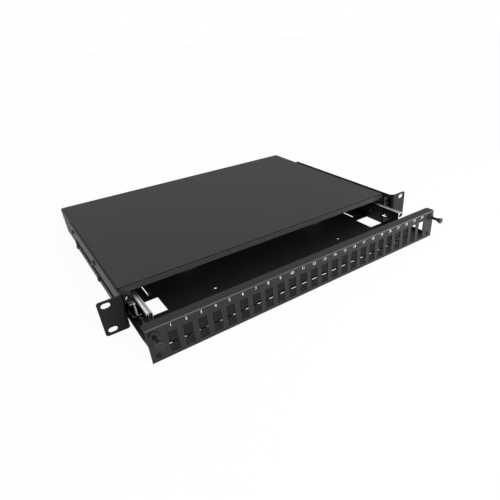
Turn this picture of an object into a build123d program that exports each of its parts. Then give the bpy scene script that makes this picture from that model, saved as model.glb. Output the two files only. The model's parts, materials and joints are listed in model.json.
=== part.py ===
"""A 19-inch sliding fibre patch drawer, one rack unit high.

A sheet-steel case with two rack ears carries a drawer on two full-extension
ball-bearing slides. The drawer's front panel has 24 duplex adapter cut-outs
and a push latch near each end. All sizes are millimetres.

X runs to the right, Y to the rear and Z up. The origin is on the front face
of the rack ears, on the centre line, level with the bottom of the ears. The
drawer stands partly open, as photographed.
"""
import os

from build123d import *

SHEET = 1.2
BEND = 1.2  # bend radius at the middle of the sheet
BEND_START = BEND + SHEET / 2  # from the outside of a flange to the flat of the sheet


def span(start, length):
    """The two ends of a stretch."""
    return (start, start + length)


def middle(ends):
    return (ends[0] + ends[1]) / 2


# Rack ears: the standard hole pitch of one rack unit
EAR_HALF = 241.3
EAR_HEIGHT = 44.0
EAR_SHEET = 2.0
EAR_BEND = 3.0
EAR_REACH = 27.3  # from the side of the case to the end of an ear
EAR_SLOT_X = EAR_HALF - 8.75
EAR_SLOT_PITCH = 31.75
EAR_SLOT = (10.3, 6.8)
EAR_CORNER_R = 3.0
ARM_TOP = 42.6
ARM_REAR = 254.0
ARM_CORNER_R = 4.0
ARM_SLOT = (210.0, 9.0)
ARM_SLOT_Y = 135.0
EAR_SCREW_YS = (118.0, 236.0)
EAR_SCREW_ZS = (6.8, 32.0)

# Case
CASE_HALF = EAR_HALF - EAR_REACH
CASE_INSIDE = CASE_HALF - SHEET
CASE_FRONT = 20.0
CASE_DEPTH = 304.0
CASE_REAR = CASE_FRONT + CASE_DEPTH
CASE_BOTTOM = 0.6
CASE_HEIGHT = 40.6
CASE_TOP = CASE_BOTTOM + CASE_HEIGHT
LIP_HEIGHT = 8.0
LIP_END_GAP = 1.0
REAR_FLANGE_FRONT = CASE_REAR - 14.5
REAR_PANEL_BOTTOM = CASE_BOTTOM + 0.4
REAR_PANEL_GAP = 0.8  # under the case top
REAR_RIVET_Y = CASE_REAR - 8.0
REAR_RIVET_ZS = (10.0, 28.0)
REAR_OPENING = (120.0, 24.0)
REAR_OPENING_X = 105.0
REAR_OPENING_Z = 18.0

# Levels of the drawer
PANEL_BOTTOM = 0.4
PANEL_TOP = PANEL_BOTTOM + 42.4
FLOOR_BOTTOM = PANEL_BOTTOM + SHEET
FLOOR_TOP = FLOOR_BOTTOM + SHEET

# Ball-bearing slides
SLIDE_SHEET = 1.0
SLIDE_THICK = 18.6
SLIDE_BOTTOM = FLOOR_TOP + 0.6
SLIDE_TOP = SLIDE_BOTTOM + 26.0
SLIDE_MIDDLE_Z = (SLIDE_BOTTOM + SLIDE_TOP) / 2
BALL_R = 1.5
TRACK_GAP = 0.1
TRACK_R = BALL_R + TRACK_GAP
TRACK_LINE_R = TRACK_R + SLIDE_SHEET / 2
CREASE = (1.0, 0.4)  # width and depth of the rolled line beside each track
CREASE_INSET = 2.6
BALL_INSET = 5.2  # from the back of a channel to the middle of its balls
BALL_RISE = SLIDE_TOP - SLIDE_SHEET - TRACK_R - SLIDE_MIDDLE_Z
SLIDE_AXIS_X = CASE_INSIDE - SLIDE_THICK / 2
OUTER_BALL_X = CASE_INSIDE - BALL_INSET
INNER_FACE_X = CASE_INSIDE - SLIDE_THICK
INNER_BALL_X = INNER_FACE_X + BALL_INSET
OUTER_LENGTH = CASE_DEPTH - 54.0
OUTER_Y = span(CASE_FRONT + 5.0, OUTER_LENGTH)
MIDDLE_Y = span(5.0, OUTER_LENGTH - 15.0)
INNER_Y = span(-30.0, OUTER_LENGTH - 18.0)
MIDDLE_SLOT = (30.0, 8.0)
MIDDLE_SLOT_PITCH = 70.0
INNER_SLOT = (16.0, 4.6)
INNER_SLOT_Y = INNER_Y[0] + 23.0
CAGE_THICK = 0.6
CAGE_CLEAR = 0.3
OUTER_CAGE_Y = span(78.625, 80.0)
INNER_CAGE_Y = span(56.875, 90.0)
OUTER_CAGE_BALLS = 5
INNER_CAGE_BALLS = 6
OUTER_FIX_Y = (OUTER_Y[0] + 15.0, middle(OUTER_Y), OUTER_Y[1] - 13.0)

# Fasteners: M4 in the case, M3 in the drawer, with their round faces in few facets
ROUND_SIDES = 12
FIX_GAP = 0.05
CASE_HOLE_R = 2.0
CASE_HEAD = (3.5, 2.2)  # radius and height
RIVET_HEAD = (3.2, 1.2)
DRAWER_HOLE_R = 1.6
DRAWER_HEAD = (2.8, 1.5)
HEAD_TAPER = 20.0

# Front panel
FACE_Y = -75.0
FACE_BACK = FACE_Y + SHEET
PANEL_HALF = CASE_HALF + 2.2
TOP_FLANGE_REAR = FACE_Y + 12.8
TOP_FLANGE_CORNER_R = 3.0
BOTTOM_FLANGE_REAR = FACE_Y + 16.0
BOTTOM_FLANGE_HALF = CASE_HALF - 0.8
PORT_WIDTH = 10.2
PORT_HEIGHT = 26.6
PORT_Z = PANEL_BOTTOM + 17.9
PORTS = 24

# Push latches
LATCH_X = CASE_HALF - 5.0
LATCH_Z = PANEL_TOP - 8.8
GROMMET_R = 3.45
GROMMET_GAP = 0.05
PLUNGER_R = 2.0
PLUNGER_GAP = 0.075
KNOB_R = 4.2
KNOB_FRONT = FACE_Y - 19.0
PLUNGER_TIP = FACE_Y + 21.0
CATCH_Y = CASE_FRONT - 12.0
CATCH_LEG = 10.0
CATCH_X = LATCH_X - 6.0
CATCH_Z = (LATCH_Z - 6.5, LATCH_Z + 6.0)
CATCH_HOLE_R = 3.0

PORT_PITCH = 2 * (LATCH_X - 18.56) / (PORTS - 1)
PORT_XS = [(place - (PORTS - 1) / 2) * PORT_PITCH for place in range(PORTS)]

# Drawer tray
TRAY_HALF = CASE_INSIDE - 1.0
TRAY_FRONT = FACE_BACK + 0.7
WINDOW_X = (INNER_FACE_X - SHEET - 24.0, INNER_FACE_X - SHEET)
WINDOW_LENGTH = 34.0
WINDOW_FRONTS = (INNER_Y[0] + 31.0, INNER_Y[0] + 136.0)
TAB_TOP = SLIDE_TOP - 3.8
TAB_SCREW_YS = [front + offset for front in WINDOW_FRONTS for offset in (8.0, 26.0)]
LIP_TOP = FLOOR_BOTTOM + 5.6
LIP_Y = span(FACE_Y + 3.6, 33.8)
CORNER_TAB_X = (TRAY_HALF - 8.8, TRAY_HALF - 1.9)
CORNER_TAB_TOP = 13.0
END_SCREW = (TRAY_HALF - 4.0, PANEL_BOTTOM + 7.8)
TIE_SLOT = (12.0, 2.5)
TIE_SLOT_Y = FACE_Y + 18.4
FLOOR_HOLE_R = 2.0
FLOOR_HOLES = ((103.8, FACE_Y + 81.0), (174.5, FACE_Y + 165.3))
BRIDGE_RISE = 3.0
BRIDGE_WIDTH = 3.0
BRIDGE_SLOT_WIDTH = 4.0
SIDE_BRIDGE_X = WINDOW_X[0] + 6.5
SIDE_BRIDGE_LENGTH = 28.0
SIDE_BRIDGE_YS = (WINDOW_FRONTS[0] + 57.0, WINDOW_FRONTS[1] + 74.0)
SLANT_BRIDGE = (96.2, 177.5)
SLANT_BRIDGE_LENGTH = 33.5
SLANT_BRIDGE_TURN = 48.0

# Rear cable entry plate of the drawer
ENTRY_FRONT = FACE_Y + CASE_DEPTH - 2.4
ENTRY_BACK = ENTRY_FRONT + SHEET
ENTRY_BOTTOM = FLOOR_TOP + 0.7
TRAY_REAR = ENTRY_BACK + SHEET - BEND_START  # where the rear tabs start to bend
ENTRY_HALF = SLIDE_AXIS_X - 7.1
ENTRY_TOP = CASE_TOP - 3.2
ENTRY_TABS_X = (-ENTRY_HALF + 7.0, -30.0, 30.0, ENTRY_HALF - 7.0)
ENTRY_TAB_WIDTH = 14.0
ENTRY_TAB_TOP = ENTRY_TOP - 12.0
ENTRY_SCREW_Z = 13.3
ENTRY_ARC_BOTTOM = ENTRY_BOTTOM + 1.5
SLOT_ENTRY_X = ENTRY_HALF - 35.1
SLOT_ENTRY_R = 13.25
SLOT_ENTRY_TOP = ENTRY_TOP - 4.2
KEY_ENTRY_X = ENTRY_HALF - 105.4
KEY_ENTRY_R = 13.2
KEY_NECK = 12.0

# Fibre reels
REEL_X = INNER_FACE_X - 82.2
REEL_Y = FACE_Y + 183.0
REEL_R = 41.0
REEL_INSIDE_R = REEL_R - 2.0
REEL_TOP = 18.0
REEL_PETAL = (148.0, 26.0)
REEL_PETAL_SHEET = 1.6
REEL_LUG = (14.0, 18.0)
REEL_LUG_THICK = 2.4
REEL_LUG_OFFSET = 31.0
REEL_LUGS = [(side * REEL_X, REEL_Y + end * REEL_LUG_OFFSET)
             for side in (-1, 1) for end in (-1, 1)]


def upright(y):
    """A plane facing the front of the drawer, drawn in X and Z."""
    return Plane(origin=(0, y, 0), x_dir=(1, 0, 0), z_dir=(0, -1, 0))


def sideways(x):
    """A plane facing the right, drawn in Y and Z."""
    return Plane(origin=(x, 0, 0), x_dir=(0, 1, 0), z_dir=(1, 0, 0))


def outward(side, x):
    """A plane facing away from the case on one side, drawn in Y and Z."""
    return Plane(origin=(side * x, 0, 0), x_dir=(0, side, 0), z_dir=(side, 0, 0))


def mirrored(piece):
    """The same piece for the left side."""
    with BuildPart() as left:
        mirror(piece.part, about=Plane.YZ)
    return left


def screws(places, head, hole_r, length):
    """Low-headed screws or rivets, each with its seat on one of the places."""
    with BuildPart() as one:
        with BuildSketch():
            RegularPolygon(head[0], ROUND_SIDES)
        extrude(amount=head[1], taper=HEAD_TAPER)
        with BuildSketch():
            RegularPolygon(hole_r - FIX_GAP, ROUND_SIDES)
        extrude(amount=-length)
    with BuildPart() as group:
        with Locations(*places):
            add(one.part)
    return group


def side_places(x, points):
    """Fastener places on both sides of the case, facing outward."""
    return [outward(side, x) * Location((side * y, z, 0))
            for side in (-1, 1) for y, z in points]


# Case cover: top, both side walls and the folded front and rear lips
OUTER_FIX_POINTS = [(y, SLIDE_MIDDLE_Z) for y in OUTER_FIX_Y]
EAR_SCREW_POINTS = [(y, z) for y in EAR_SCREW_YS for z in EAR_SCREW_ZS]
REAR_RIVET_POINTS = [(REAR_RIVET_Y, z) for z in REAR_RIVET_ZS]
WALL_LINE = CASE_HALF - SHEET / 2
TOP_LINE = CASE_TOP - SHEET / 2

with BuildPart() as case_cover:
    with BuildSketch(upright(CASE_REAR - 2 * SHEET)):
        with BuildLine():
            FilletPolyline(
                (-WALL_LINE, CASE_BOTTOM), (-WALL_LINE, TOP_LINE),
                (WALL_LINE, TOP_LINE), (WALL_LINE, CASE_BOTTOM), radius=BEND)
        trace(line_width=SHEET)
    extrude(amount=CASE_DEPTH - 4 * SHEET)
    with BuildSketch(sideways(-CASE_INSIDE + LIP_END_GAP)):
        front_line = CASE_FRONT + SHEET / 2
        back_line = CASE_REAR - SHEET / 2
        with BuildLine():
            FilletPolyline(
                (front_line, CASE_TOP - LIP_HEIGHT), (front_line, TOP_LINE),
                (back_line, TOP_LINE), (back_line, CASE_TOP - LIP_HEIGHT), radius=BEND)
        trace(line_width=SHEET)
    extrude(amount=2 * (CASE_INSIDE - LIP_END_GAP))
    with BuildSketch(Plane.XY.offset(CASE_BOTTOM)):
        with Locations((-WALL_LINE, middle((CASE_FRONT, CASE_REAR))),
                       (WALL_LINE, middle((CASE_FRONT, CASE_REAR)))):
            Rectangle(SHEET, CASE_DEPTH)
    extrude(amount=CASE_HEIGHT - 2 * SHEET)
    with BuildSketch(sideways(-CASE_HALF - SHEET)):
        with Locations(*OUTER_FIX_POINTS, *EAR_SCREW_POINTS, *REAR_RIVET_POINTS):
            RegularPolygon(CASE_HOLE_R, ROUND_SIDES)
    extrude(amount=2 * (CASE_HALF + SHEET), mode=Mode.SUBTRACT)

# Rear panel of the case, with two wide cable openings
with BuildPart() as case_rear_panel:
    with BuildSketch(Plane.XY.offset(REAR_PANEL_BOTTOM)):
        rear_line = CASE_REAR - 1.5 * SHEET
        flange_line = CASE_INSIDE - SHEET / 2
        with BuildLine():
            FilletPolyline(
                (-flange_line, REAR_FLANGE_FRONT), (-flange_line, rear_line),
                (flange_line, rear_line), (flange_line, REAR_FLANGE_FRONT), radius=BEND)
        trace(line_width=SHEET)
    extrude(amount=CASE_TOP - SHEET - REAR_PANEL_GAP - REAR_PANEL_BOTTOM)
    with BuildSketch(upright(CASE_REAR)):
        with Locations((-REAR_OPENING_X, REAR_OPENING_Z), (REAR_OPENING_X, REAR_OPENING_Z)):
            SlotOverall(*REAR_OPENING)
    extrude(amount=4 * SHEET, mode=Mode.SUBTRACT)
    with BuildSketch(sideways(-CASE_HALF)):
        with Locations(*REAR_RIVET_POINTS):
            RegularPolygon(CASE_HOLE_R, ROUND_SIDES)
    extrude(amount=2 * CASE_HALF, mode=Mode.SUBTRACT)

# Rack ear with its long side arm and the inward latch catch
ARM_LINE = CASE_HALF + EAR_SHEET / 2

with BuildPart() as rack_ear_right:
    with BuildSketch():
        with BuildLine():
            FilletPolyline(
                (ARM_LINE, ARM_REAR), (ARM_LINE, EAR_SHEET / 2), (EAR_HALF, EAR_SHEET / 2),
                radius=EAR_BEND)
        trace(line_width=EAR_SHEET)
    extrude(amount=EAR_HEIGHT)
    ear_corners = rack_ear_right.edges().filter_by(Axis.Y).group_by(Axis.X)[-1]
    fillet(ear_corners, radius=EAR_CORNER_R)
    with BuildSketch(upright(EAR_SHEET + 1)):
        with Locations((EAR_SLOT_X, EAR_HEIGHT / 2)):
            with GridLocations(0, EAR_SLOT_PITCH, 1, 2):
                SlotOverall(*EAR_SLOT)
    extrude(amount=EAR_SHEET + 2, mode=Mode.SUBTRACT)
    # the arm is a little lower than the ear
    with BuildSketch(sideways(CASE_HALF - 1)):
        with Locations((EAR_SHEET + EAR_BEND, ARM_TOP)):
            Rectangle(ARM_REAR, EAR_HEIGHT, align=(Align.MIN, Align.MIN))
    extrude(amount=EAR_SHEET + 2, mode=Mode.SUBTRACT)
    # the openings in the arm
    arm_corners = rack_ear_right.edges().filter_by(Axis.X).group_by(Axis.Y)[-1]
    fillet(arm_corners, radius=ARM_CORNER_R)
    with BuildSketch(sideways(CASE_HALF - 1)):
        with Locations((ARM_SLOT_Y, SLIDE_MIDDLE_Z)):
            SlotOverall(*ARM_SLOT)
        with Locations(*EAR_SCREW_POINTS):
            RegularPolygon(CASE_HOLE_R, ROUND_SIDES)
    extrude(amount=EAR_SHEET + 2, mode=Mode.SUBTRACT)
    # angled catch, its leg welded to the inside of the arm
    with BuildSketch(Plane.XY.offset(CATCH_Z[0])):
        catch_line = CATCH_Y + EAR_SHEET / 2
        leg_line = CASE_HALF - EAR_SHEET / 2
        with BuildLine():
            FilletPolyline(
                (leg_line, CATCH_Y + CATCH_LEG), (leg_line, catch_line), (CATCH_X, catch_line),
                radius=EAR_SHEET)
        trace(line_width=EAR_SHEET)
    extrude(amount=CATCH_Z[1] - CATCH_Z[0])
    with BuildSketch(upright(CATCH_Y + EAR_SHEET + 1)):
        with Locations((LATCH_X, LATCH_Z)):
            Circle(CATCH_HOLE_R)
    extrude(amount=EAR_SHEET + 2, mode=Mode.SUBTRACT)

rack_ear_left = mirrored(rack_ear_right)
rack_ear_screws = screws(side_places(CASE_HALF + EAR_SHEET, EAR_SCREW_POINTS), CASE_HEAD,
                         CASE_HOLE_R, EAR_SHEET + SHEET - FIX_GAP)


slide_outer_rivets = screws(side_places(CASE_HALF, OUTER_FIX_POINTS), RIVET_HEAD,
                            CASE_HOLE_R, SHEET + SLIDE_SHEET)
case_rear_rivets = screws(side_places(CASE_HALF, REAR_RIVET_POINTS), RIVET_HEAD,
                          CASE_HOLE_R, 2 * SHEET)


def channel(back_x, ball_x, ends):
    """An outer or inner slide member: a channel with curled ball tracks."""
    inward = 1 if ball_x > back_x else -1
    web_x = back_x + inward * SLIDE_SHEET / 2
    reach = BALL_RISE + TRACK_LINE_R
    with BuildPart() as member:
        with BuildSketch(upright(ends[1])):
            with BuildLine():
                FilletPolyline(
                    (ball_x, SLIDE_MIDDLE_Z + reach), (web_x, SLIDE_MIDDLE_Z + reach),
                    (web_x, SLIDE_MIDDLE_Z - reach), (ball_x, SLIDE_MIDDLE_Z - reach),
                    radius=SLIDE_SHEET)
                for side in (-1, 1):
                    CenterArc((ball_x, SLIDE_MIDDLE_Z + side * BALL_RISE), TRACK_LINE_R,
                              side * 90, -side * inward * 85)
            trace(line_width=SLIDE_SHEET)
            with Locations((back_x + inward * CREASE_INSET, SLIDE_MIDDLE_Z)):
                with GridLocations(0, 2 * reach + SLIDE_SHEET, 1, 2):
                    Rectangle(CREASE[0], 2 * CREASE[1], mode=Mode.SUBTRACT)
        extrude(amount=ends[1] - ends[0])
    return member


# Outer slide member, riveted to the case wall
with BuildPart() as slide_outer_right:
    add(channel(CASE_INSIDE, OUTER_BALL_X, OUTER_Y))
    with BuildSketch(sideways(CASE_INSIDE + 1)):
        with Locations(*OUTER_FIX_POINTS):
            RegularPolygon(CASE_HOLE_R, ROUND_SIDES)
    extrude(amount=-SLIDE_SHEET - 2, mode=Mode.SUBTRACT)

slide_outer_left = mirrored(slide_outer_right)

# Inner slide member, screwed to the upright tabs of the tray
with BuildPart() as slide_inner_right:
    add(channel(INNER_FACE_X, INNER_BALL_X, INNER_Y))
    with BuildSketch(sideways(INNER_FACE_X - 1)):
        with Locations(*[(y, SLIDE_MIDDLE_Z) for y in TAB_SCREW_YS]):
            RegularPolygon(DRAWER_HOLE_R, ROUND_SIDES)
        with Locations((INNER_SLOT_Y, SLIDE_MIDDLE_Z)):
            SlotOverall(*INNER_SLOT)
    extrude(amount=SLIDE_SHEET + 2, mode=Mode.SUBTRACT)

slide_inner_left = mirrored(slide_inner_right)

# Middle slide member: two channels joined back to back, with four ball grooves
GROOVE_HALF_ANGLE = 35.0
GROOVE_EDGE = Vector(TRACK_LINE_R, 0).rotate(Axis.Z, 90 - GROOVE_HALF_ANGLE)

with BuildPart() as slide_middle_right:
    with BuildSketch(upright(MIDDLE_Y[1])):
        flange_rise = BALL_RISE - GROOVE_EDGE.Y
        with Locations((SLIDE_AXIS_X, SLIDE_MIDDLE_Z)):
            Rectangle(2 * SLIDE_SHEET, 2 * flange_rise + SLIDE_SHEET)
        for ball_x in (INNER_BALL_X, OUTER_BALL_X):
            toward_web = 1 if ball_x < SLIDE_AXIS_X else -1
            for side in (-1, 1):
                flange_z = SLIDE_MIDDLE_Z + side * flange_rise
                with BuildLine():
                    Line((SLIDE_AXIS_X, flange_z), (ball_x + toward_web * GROOVE_EDGE.X, flange_z))
                    CenterArc((ball_x, SLIDE_MIDDLE_Z + side * BALL_RISE), TRACK_LINE_R,
                              -side * 90 - GROOVE_HALF_ANGLE, 2 * GROOVE_HALF_ANGLE)
                trace(line_width=SLIDE_SHEET)
    extrude(amount=MIDDLE_Y[1] - MIDDLE_Y[0])
    with BuildSketch(sideways(SLIDE_AXIS_X - 2 * SLIDE_SHEET)):
        with Locations((middle(MIDDLE_Y), SLIDE_MIDDLE_Z)):
            with GridLocations(MIDDLE_SLOT_PITCH, 0, 3, 1):
                SlotOverall(*MIDDLE_SLOT)
    extrude(amount=4 * SLIDE_SHEET, mode=Mode.SUBTRACT)

slide_middle_left = mirrored(slide_middle_right)


def ball_places(ends, count):
    """Y positions of the balls of one row, evenly spaced along a cage."""
    step = (ends[1] - ends[0]) / count
    return [ends[0] + step * (place + 0.5) for place in range(count)]


def cage(back_x, ball_x, ends, count):
    """A thin cage that spaces two rows of balls between two slide members."""
    inward = 1 if ball_x > back_x else -1
    web_x = back_x + inward * (SLIDE_SHEET + CAGE_CLEAR + CAGE_THICK / 2)
    end_x = ball_x + inward * 0.7
    with BuildPart() as frame:
        with BuildSketch(upright(ends[1])):
            with BuildLine():
                FilletPolyline(
                    (end_x, SLIDE_MIDDLE_Z + BALL_RISE), (web_x, SLIDE_MIDDLE_Z + BALL_RISE),
                    (web_x, SLIDE_MIDDLE_Z - BALL_RISE), (end_x, SLIDE_MIDDLE_Z - BALL_RISE),
                    radius=CAGE_THICK)
            trace(line_width=CAGE_THICK)
        extrude(amount=ends[1] - ends[0])
        with BuildSketch(Plane.XY):
            with Locations(*[(ball_x, y) for y in ball_places(ends, count)]):
                Rectangle(2 * TRACK_R, 2 * TRACK_R)
        extrude(amount=SLIDE_TOP, mode=Mode.SUBTRACT)
        with BuildSketch(sideways(web_x - inward)):
            with Locations((middle(ends), SLIDE_MIDDLE_Z)):
                Rectangle(ends[1] - ends[0] - 16, 2 * BALL_RISE - 8)
        extrude(amount=2 * inward, mode=Mode.SUBTRACT)
    return frame


# A ball in few facets: a cube cut back at its edges until its corners lie on the ball
BALL_CUBE = 1.726 * BALL_R
BALL_CUT = 0.505 * BALL_R

with BuildPart() as ball:
    Box(BALL_CUBE, BALL_CUBE, BALL_CUBE)
    chamfer(ball.edges(), length=BALL_CUT)


def balls(ball_x, ends, count):
    """The two rows of balls of one cage."""
    with BuildPart() as rows:
        with Locations(*[(ball_x, y, SLIDE_MIDDLE_Z + rise)
                         for y in ball_places(ends, count) for rise in (-BALL_RISE, BALL_RISE)]):
            add(ball.part)
    return rows


outer_cage_right = cage(CASE_INSIDE, OUTER_BALL_X, OUTER_CAGE_Y, OUTER_CAGE_BALLS)
inner_cage_right = cage(INNER_FACE_X, INNER_BALL_X, INNER_CAGE_Y, INNER_CAGE_BALLS)
outer_balls_right = balls(OUTER_BALL_X, OUTER_CAGE_Y, OUTER_CAGE_BALLS)
inner_balls_right = balls(INNER_BALL_X, INNER_CAGE_Y, INNER_CAGE_BALLS)
outer_cage_left = mirrored(outer_cage_right)
inner_cage_left = mirrored(inner_cage_right)
outer_balls_left = mirrored(outer_balls_right)
inner_balls_left = mirrored(inner_balls_right)


def fold(plane, heel, inward, tip):
    """Section of a flange folded up out of the floor, with its outside at the heel."""
    bend_x = heel + inward * BEND_START
    bend_z = FLOOR_BOTTOM + BEND_START
    with BuildSketch(plane) as section:
        with BuildLine():
            CenterArc((bend_x, bend_z), BEND_START, 270, -90 * inward)
            Polyline((heel, bend_z), (heel, tip), (heel + inward * SHEET, tip),
                     (heel + inward * SHEET, bend_z))
            CenterArc((bend_x, bend_z), BEND_START - SHEET, 270, -90 * inward)
            Line((bend_x, FLOOR_BOTTOM), (bend_x, FLOOR_TOP))
        make_face()
    return section.sketch


def tie_bridge(length):
    """A strip of the floor raised over its slot, along X."""
    end = length / 2
    with BuildPart() as strip:
        with BuildSketch(upright(BRIDGE_WIDTH / 2)):
            with BuildLine():
                Polyline(
                    (-end, FLOOR_BOTTOM), (1 - end, FLOOR_BOTTOM),
                    (5 - end, FLOOR_BOTTOM + BRIDGE_RISE), (end - 5, FLOOR_BOTTOM + BRIDGE_RISE),
                    (end - 1, FLOOR_BOTTOM), (end, FLOOR_BOTTOM), (end, FLOOR_TOP),
                    (end - 0.6, FLOOR_TOP), (end - 4.6, FLOOR_TOP + BRIDGE_RISE),
                    (4.6 - end, FLOOR_TOP + BRIDGE_RISE), (0.6 - end, FLOOR_TOP),
                    (-end, FLOOR_TOP), close=True)
            make_face()
        extrude(amount=BRIDGE_WIDTH)
    return strip


def both_sides(x, y, turn):
    """A place and its mirror image, with the turn mirrored too."""
    return [Location((side * x, y, 0), (0, 0, side * turn)) for side in (-1, 1)]


BRIDGES = [(SIDE_BRIDGE_LENGTH, both_sides(SIDE_BRIDGE_X, y, 90)) for y in SIDE_BRIDGE_YS]
BRIDGES.append((SLANT_BRIDGE_LENGTH, both_sides(*SLANT_BRIDGE, SLANT_BRIDGE_TURN)))

# Drawer tray: floor, lanced tabs for the slides, tie bridges and corner tabs
with BuildPart() as drawer_tray:
    with BuildSketch(Plane.XY.offset(FLOOR_BOTTOM)):
        with Locations((0, middle((TRAY_FRONT, TRAY_REAR)))):
            Rectangle(2 * TRAY_HALF, TRAY_REAR - TRAY_FRONT)
        for side in (-1, 1):
            # each opening reaches to where the sheet starts to bend
            window_end = WINDOW_X[1] + BEND_START
            for front in WINDOW_FRONTS:
                with Locations((side * middle((WINDOW_X[0], window_end)),
                                front + WINDOW_LENGTH / 2)):
                    Rectangle(window_end - WINDOW_X[0], WINDOW_LENGTH, mode=Mode.SUBTRACT)
            with Locations((side * (TRAY_HALF - BEND_START / 2), middle(LIP_Y))):
                Rectangle(BEND_START, LIP_Y[1] - LIP_Y[0] + 0.4, mode=Mode.SUBTRACT)
            with Locations((side * middle(CORNER_TAB_X), FACE_BACK + BEND_START / 2)):
                Rectangle(CORNER_TAB_X[1] - CORNER_TAB_X[0] + 0.2, BEND_START,
                          mode=Mode.SUBTRACT)
            with Locations(*[(side * x, y) for x, y in FLOOR_HOLES]):
                Circle(FLOOR_HOLE_R, mode=Mode.SUBTRACT)
        with Locations(*[(x, TIE_SLOT_Y) for x in PORT_XS]):
            Rectangle(*TIE_SLOT, mode=Mode.SUBTRACT)
        with Locations(*REEL_LUGS):
            RegularPolygon(DRAWER_HOLE_R, ROUND_SIDES, mode=Mode.SUBTRACT)
        for length, places in BRIDGES:
            with Locations(*places):
                Rectangle(length, BRIDGE_SLOT_WIDTH, mode=Mode.SUBTRACT)
    extrude(amount=SHEET)
    for length, places in BRIDGES:
        strip = tie_bridge(length)
        with Locations(*places):
            add(strip)
    # slide tabs, bent up along the outer edge of each window
    for front in WINDOW_FRONTS:
        for side in (-1, 1):
            extrude(fold(upright(front + WINDOW_LENGTH), side * WINDOW_X[1], side, TAB_TOP),
                    amount=WINDOW_LENGTH)
    # low side lips beside the panel
    for side in (-1, 1):
        extrude(fold(upright(LIP_Y[1]), side * TRAY_HALF, -side, LIP_TOP),
                amount=LIP_Y[1] - LIP_Y[0])
    # corner tabs against the back of the panel
    for start in (CORNER_TAB_X[0], -CORNER_TAB_X[1]):
        extrude(fold(sideways(start), FACE_BACK, 1, CORNER_TAB_TOP),
                amount=CORNER_TAB_X[1] - CORNER_TAB_X[0])
    # rear tabs behind the cable entry plate
    for x in ENTRY_TABS_X:
        extrude(fold(sideways(x - ENTRY_TAB_WIDTH / 2), ENTRY_BACK + SHEET, -1, ENTRY_TAB_TOP),
                amount=ENTRY_TAB_WIDTH)
    # screw holes in the upright tabs
    with BuildSketch(sideways(-TRAY_HALF - 1)):
        with Locations(*[(y, SLIDE_MIDDLE_Z) for y in TAB_SCREW_YS]):
            RegularPolygon(DRAWER_HOLE_R, ROUND_SIDES)
    extrude(amount=2 * TRAY_HALF + 2, mode=Mode.SUBTRACT)
    with BuildSketch(upright(ENTRY_BACK + 2 * SHEET)):
        with Locations(*[(x, ENTRY_SCREW_Z) for x in ENTRY_TABS_X]):
            RegularPolygon(DRAWER_HOLE_R, ROUND_SIDES)
    extrude(amount=3 * SHEET, mode=Mode.SUBTRACT)
    with BuildSketch(upright(FACE_BACK + 2 * SHEET)):
        with Locations((-END_SCREW[0], END_SCREW[1]), END_SCREW):
            RegularPolygon(DRAWER_HOLE_R, ROUND_SIDES)
    extrude(amount=3 * SHEET, mode=Mode.SUBTRACT)

# Front panel: one folded channel with the row of adapter cut-outs
with BuildPart() as front_panel:
    with BuildSketch(sideways(-PANEL_HALF)):
        face_line = FACE_Y + SHEET / 2
        with BuildLine():
            FilletPolyline(
                (TOP_FLANGE_REAR, PANEL_TOP - SHEET / 2), (face_line, PANEL_TOP - SHEET / 2),
                (face_line, PANEL_BOTTOM + SHEET / 2),
                (BOTTOM_FLANGE_REAR, PANEL_BOTTOM + SHEET / 2), radius=BEND)
        trace(line_width=SHEET)
    extrude(amount=2 * PANEL_HALF)
    top_corners = front_panel.edges().filter_by(Axis.Z).group_by(Axis.Z)[-1]
    fillet(top_corners.group_by(Axis.Y)[-1], radius=TOP_FLANGE_CORNER_R)
    # the bottom flange is cut back at both ends
    with BuildSketch(Plane.XY.offset(PANEL_BOTTOM)):
        for side in (-1, 1):
            with BuildLine():
                Polyline(
                    (side * (PANEL_HALF + 1), FACE_Y + 2.2), (side * PANEL_HALF, FACE_Y + 2.2),
                    (side * BOTTOM_FLANGE_HALF, FACE_Y + 5.2),
                    (side * BOTTOM_FLANGE_HALF, BOTTOM_FLANGE_REAR + 1),
                    (side * (PANEL_HALF + 1), BOTTOM_FLANGE_REAR + 1), close=True)
            make_face()
    extrude(amount=SHEET, mode=Mode.SUBTRACT)
    with BuildSketch(upright(FACE_BACK + SHEET)):
        with Locations(*[(x, PORT_Z) for x in PORT_XS]):
            Rectangle(PORT_WIDTH, PORT_HEIGHT)
        with Locations((-LATCH_X, LATCH_Z), (LATCH_X, LATCH_Z)):
            RegularPolygon(GROMMET_R + GROMMET_GAP, ROUND_SIDES)
        with Locations((-END_SCREW[0], END_SCREW[1]), END_SCREW):
            RegularPolygon(DRAWER_HOLE_R, ROUND_SIDES)
    extrude(amount=3 * SHEET, mode=Mode.SUBTRACT)

front_panel_screws = screws(
    [upright(FACE_Y) * Location((side * END_SCREW[0], END_SCREW[1], 0)) for side in (-1, 1)],
    DRAWER_HEAD, DRAWER_HOLE_R, 2 * SHEET)

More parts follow.
